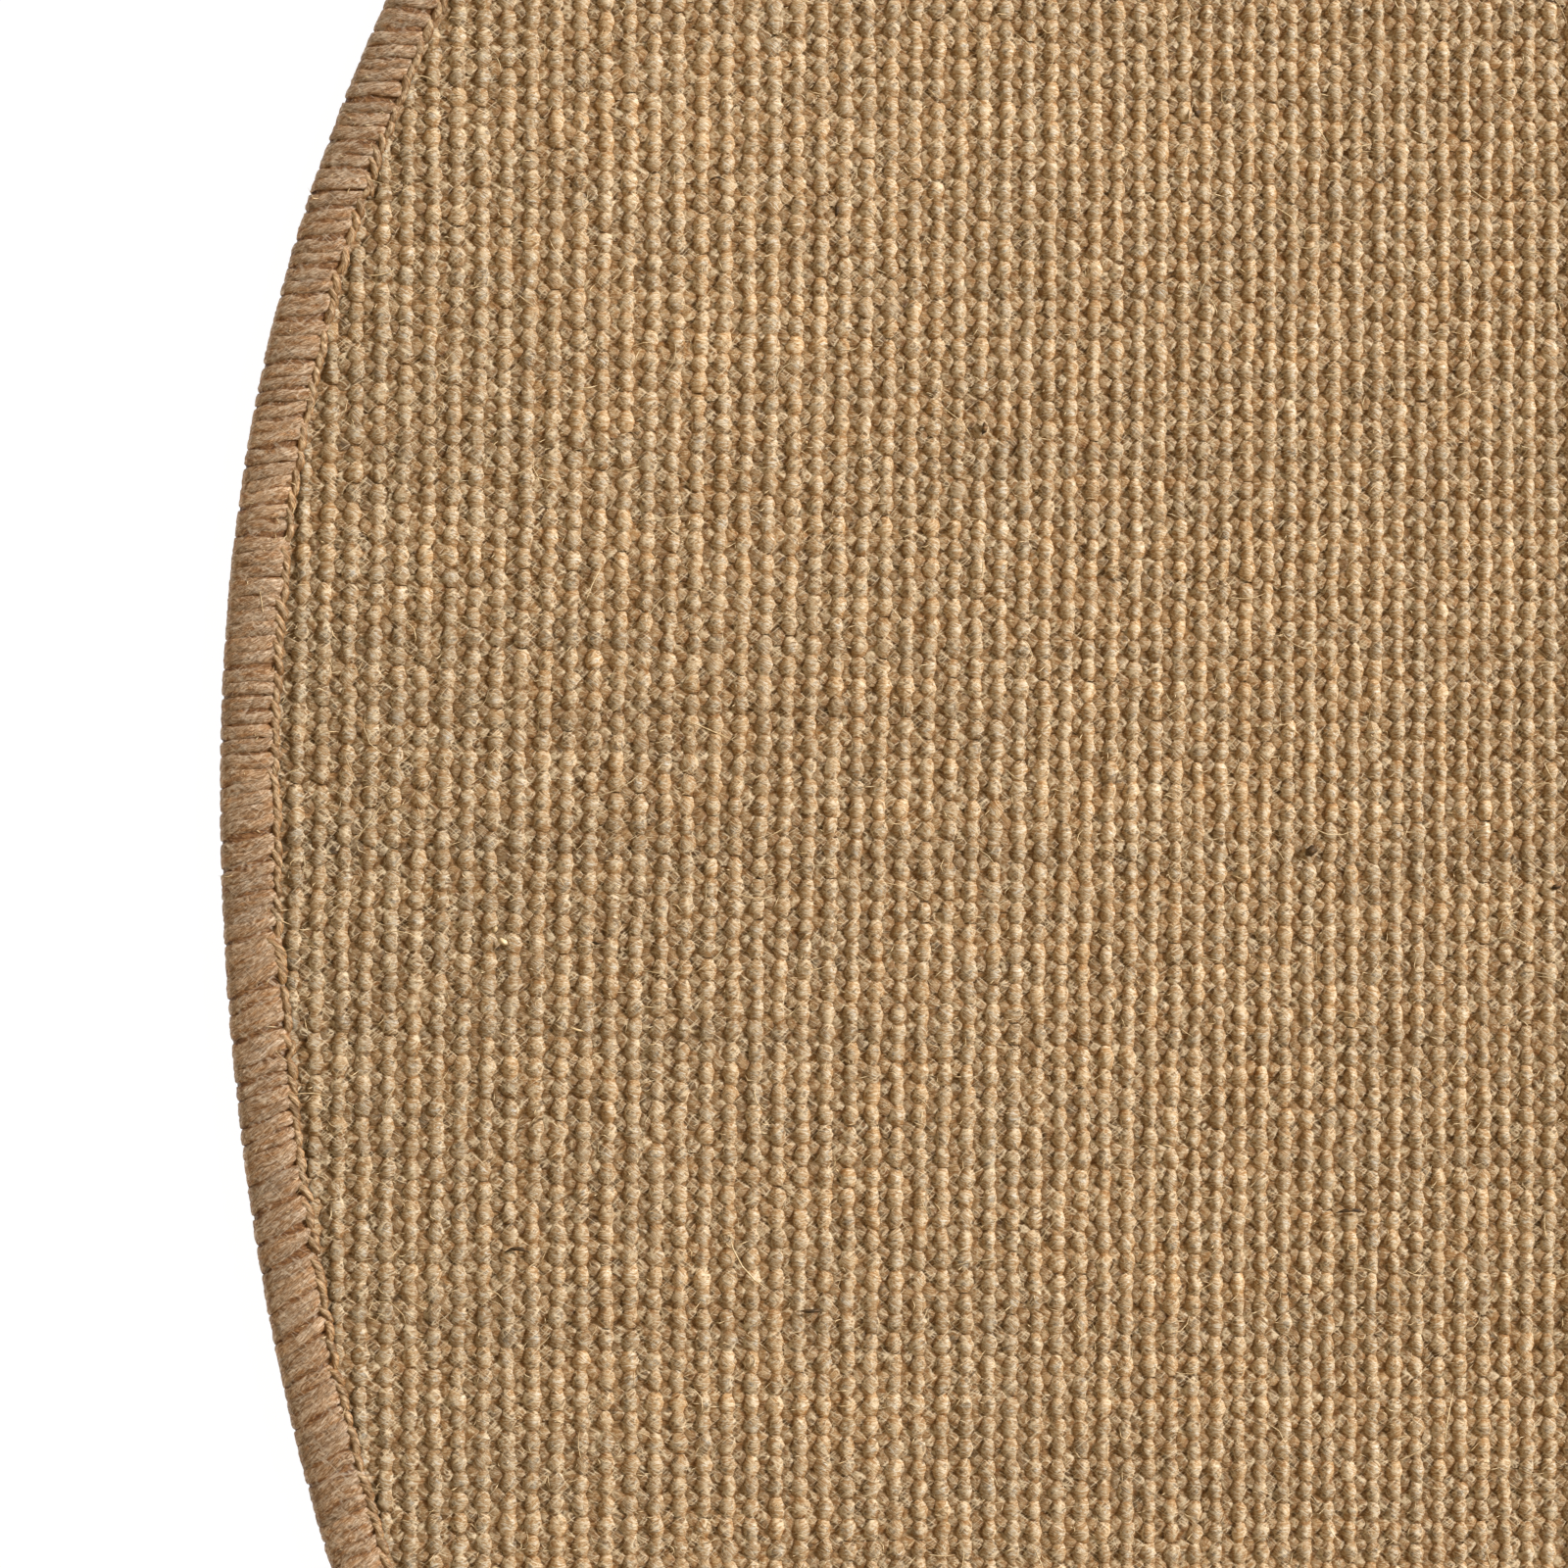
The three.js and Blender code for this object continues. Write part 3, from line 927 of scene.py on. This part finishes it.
def scatter(count, margin):
    """Random places on the rug, at least margin millimetres inside its outline."""
    angle = TURN * RNG.random(count)
    radius = (outline_radius(angle) - margin) * np.sqrt(RNG.random(count))
    return np.stack([radius * np.cos(angle), radius * np.sin(angle)], -1)


def fibre_piece(name, sets, material):
    """One piece from sets of spindles. Each set has its start, heading, length, bow,
    thickness, heights, loops and lightness."""
    points, faces, light, start = [], [], [], 0
    for *shape, tone in sets:
        made, triangles, each = spindles(*shape)
        points.append(made)
        faces.append(triangles + start)
        light.append(np.repeat(tone, each))
        start += len(made)
    points, light = np.concatenate(points), np.concatenate(light)
    tone = np.stack([light, RNG.normal(0, FIBRE_HUE, len(light)), np.ones_like(light)], -1)
    uv = points[:, :2] / UV_SPAN + 0.5
    return write_mesh(name, points, np.concatenate(faces), material,
                      points * FIBRE_STRETCH, tone, uv)


def loose_fibres(material):
    """The fuzz: most fibres are short, and some are long and bent."""
    sets = []
    for count, loops, low, high, thin, thick, arch in FIBRE_SETS:
        start = scatter(count, FIBRE_MARGIN)
        heading = RNG.normal(*FIBRE_HEADING, count) + math.pi * (RNG.random(count) < 0.5)
        length = low + (high - low) * RNG.random(count) ** 2
        bow = length * RNG.normal(0, FIBRE_BOW, count)
        thickness = thin + (thick - thin) * RNG.random(count)
        ends = RNG.uniform(*FIBRE_ENDS, (2, count))
        heights = np.stack([ends[0], FIBRE_MIDDLE + arch * RNG.random(count), ends[1]], -1)
        light = RNG.uniform(*FIBRE_LIGHT, count)
        sets.append((start, heading, length, bow, thickness, heights, loops, light))
    return fibre_piece("loose_fibres", sets, material)


def stray_bits(name, seen, count, longest, thickest, material):
    """Bits of bark or straw caught in the weave: those that the photo shows, and a random
    scatter over the rest. seen has for each its x, y, length, thickness and heading."""
    seen = np.array(seen)
    places = scatter(count, BIT_MARGIN)
    places = places[np.abs(np.arctan2(places[:, 1], places[:, 0])) < PHOTO_STARTS]
    count = len(places)
    start = np.concatenate([seen[:, :2], places])
    length = BIT_SHORTEST + (longest - BIT_SHORTEST) * RNG.random(count) ** 2
    length = np.concatenate([seen[:, 2], length])
    thick = np.concatenate([seen[:, 3], thickest * RNG.uniform(BIT_THINNEST, 1, count)])
    heading = np.concatenate([np.radians(seen[:, 4]), RNG.normal(0, BIT_HEADING, count)])
    start = start - np.stack([np.cos(heading), np.sin(heading)], -1) * length[:, None] / 2
    bow = length * RNG.normal(0, BIT_BOW, len(length))
    heights = np.tile(BIT_HEIGHTS, (len(length), 1))
    light = RNG.uniform(*BIT_LIGHT, len(length))
    bits = (start, heading, length, bow, thick, heights, BIT_LOOPS, light)
    return fibre_piece(name, [bits], material)


# Stage: a plain pale floor, soft light from the right and a camera straight above

PIXELS_PER_MM = 4.5
PICTURE_SIDE = 1600
CENTRE_PIXEL = (2468, 905)
LENS = 100
SENSOR = 36
CLIP = (0.01, 200)
# The camera is set for a plane at this height, and stands this far to the right
VIEW_TOP = 6.0
VIEW_SHIFT = 0.45
# These two, and the camera's clip, are in metres
FLOOR_HALF = 40.0
FLOOR_HEIGHT = -0.0003
FLOOR_GREY = 0.06
FLOOR_GLOW = 0.98
SOFT_LIGHT = {"colour": (1.0, 0.81, 0.53), "strength": 0.52}
KEY_LIGHT = {"colour": (1.0, 0.985, 0.965), "strength": 4.85, "angle": 14,
             "towards": (-0.76, -0.40, -0.52)}


def pale_floor():
    mesh = bpy.data.meshes.new("floor")
    half = FLOOR_HALF
    corners = [(-half, -half), (half, -half), (half, half), (-half, half)]
    mesh.from_pydata([(x, y, FLOOR_HEIGHT) for x, y in corners], [], [(0, 1, 2, 3)])
    floor = bpy.data.objects.new("floor", mesh)
    bpy.context.scene.collection.objects.link(floor)
    material = bpy.data.materials.new("floor_white")
    material.use_nodes = True
    shader = material.node_tree.nodes["Principled BSDF"]
    shader.inputs["Base Color"].default_value = (FLOOR_GREY, FLOOR_GREY, FLOOR_GREY, 1)
    shader.inputs["Roughness"].default_value = 1.0
    shader.inputs["Specular IOR Level"].default_value = 0.0
    shader.inputs["Emission Color"].default_value = (1, 1, 1, 1)
    shader.inputs["Emission Strength"].default_value = FLOOR_GLOW
    mesh.materials.append(material)


def soft_light():
    """Warm light from all round. The camera sees plain white in its place."""
    world = bpy.data.worlds.new("studio")
    world.use_nodes = True
    tree = world.node_tree
    light = tree.nodes["Background"]
    light.inputs["Color"].default_value = (*SOFT_LIGHT["colour"], 1)
    light.inputs["Strength"].default_value = SOFT_LIGHT["strength"]
    seen = node(tree, "ShaderNodeBackground", {"Color": (1, 1, 1, 1), "Strength": 1.0})
    path = node(tree, "ShaderNodeLightPath")
    mixed = node(tree, "ShaderNodeMixShader", {
        0: path.outputs["Is Camera Ray"], 1: light.outputs[0], 2: seen.outputs[0]})
    tree.links.new(mixed.outputs[0], tree.nodes["World Output"].inputs["Surface"])
    bpy.context.scene.world = world


def key_light():
    light = bpy.data.lights.new("key", "SUN")
    light.energy = KEY_LIGHT["strength"]
    light.angle = math.radians(KEY_LIGHT["angle"])
    light.color = KEY_LIGHT["colour"]
    holder = bpy.data.objects.new("key", light)
    holder.rotation_euler = Vector(KEY_LIGHT["towards"]).to_track_quat("-Z", "Y").to_euler()
    bpy.context.scene.collection.objects.link(holder)


def camera():
    """Straight above the part of the rug that shows. CENTRE_PIXEL is the middle of the
    cutting circle in the picture, which lies outside its right side."""
    made = bpy.data.cameras.new("camera")
    made.lens = LENS
    made.sensor_width = SENSOR
    made.clip_start, made.clip_end = CLIP
    holder = bpy.data.objects.new("camera", made)
    width = PICTURE_SIDE / PIXELS_PER_MM
    x = (PICTURE_SIDE / 2 - CENTRE_PIXEL[0]) / PIXELS_PER_MM - MIDDLE[0] + VIEW_SHIFT
    y = (CENTRE_PIXEL[1] - PICTURE_SIDE / 2) / PIXELS_PER_MM - MIDDLE[1]
    holder.location = Vector((x, y, VIEW_TOP + width * LENS / SENSOR)) * 0.001
    bpy.context.scene.collection.objects.link(holder)
    bpy.context.scene.camera = holder


def main():
    bpy.context.scene.view_settings.view_transform = "Standard"
    camera()
    pale_floor()
    soft_light()
    key_light()
    field = yarn_material(
        "field_jute_yarn", FIELD_STOPS, PALE, FIELD_PAINTED_SHADE,
        fibre_scale=(0.5, 1.7), bump=0.25, hair=0.75)
    binding = yarn_material(
        "binding_jute_yarn", BINDING_STOPS, BINDING_PALE, BINDING_PAINTED_SHADE,
        fibre_scale=(0.55, 1.7), bump=0.5, hair=0.5)
    chain = yarn_material(
        "chain_jute_yarn", CHAIN_STOPS, PALE, BINDING_PAINTED_SHADE,
        fibre_scale=(0.35, 1.8), bump=0.25, hair=0.4)
    straw = yarn_material(
        "loose_fibre_straw", STRAW_STOPS, PALE, FIELD_PAINTED_SHADE,
        fibre_scale=(0.5, 3.0), bump=0.02, hair=0.0)
    bark = yarn_material(
        "bark_brown", BARK_STOPS, PALE, FIELD_PAINTED_SHADE,
        fibre_scale=(0.8, 2.0), bump=0.1, hair=0.0)
    cloth = base_cloth(field)
    pieces = field_strips(field)
    courses = wrap_courses()
    pieces.append(binding_core(binding))
    pieces.append(binding_wraps(binding, courses))
    pieces.append(chain_loops(chain, courses))
    pieces.append(loose_fibres(straw))
    pieces.append(stray_bits(
        "bark_bits", BARK_SEEN, count=60, longest=6.0, thickest=0.9, material=bark))
    pieces.append(stray_bits(
        "straw_bits", STRAW_SEEN, count=40, longest=14.0, thickest=0.6, material=straw))


main()
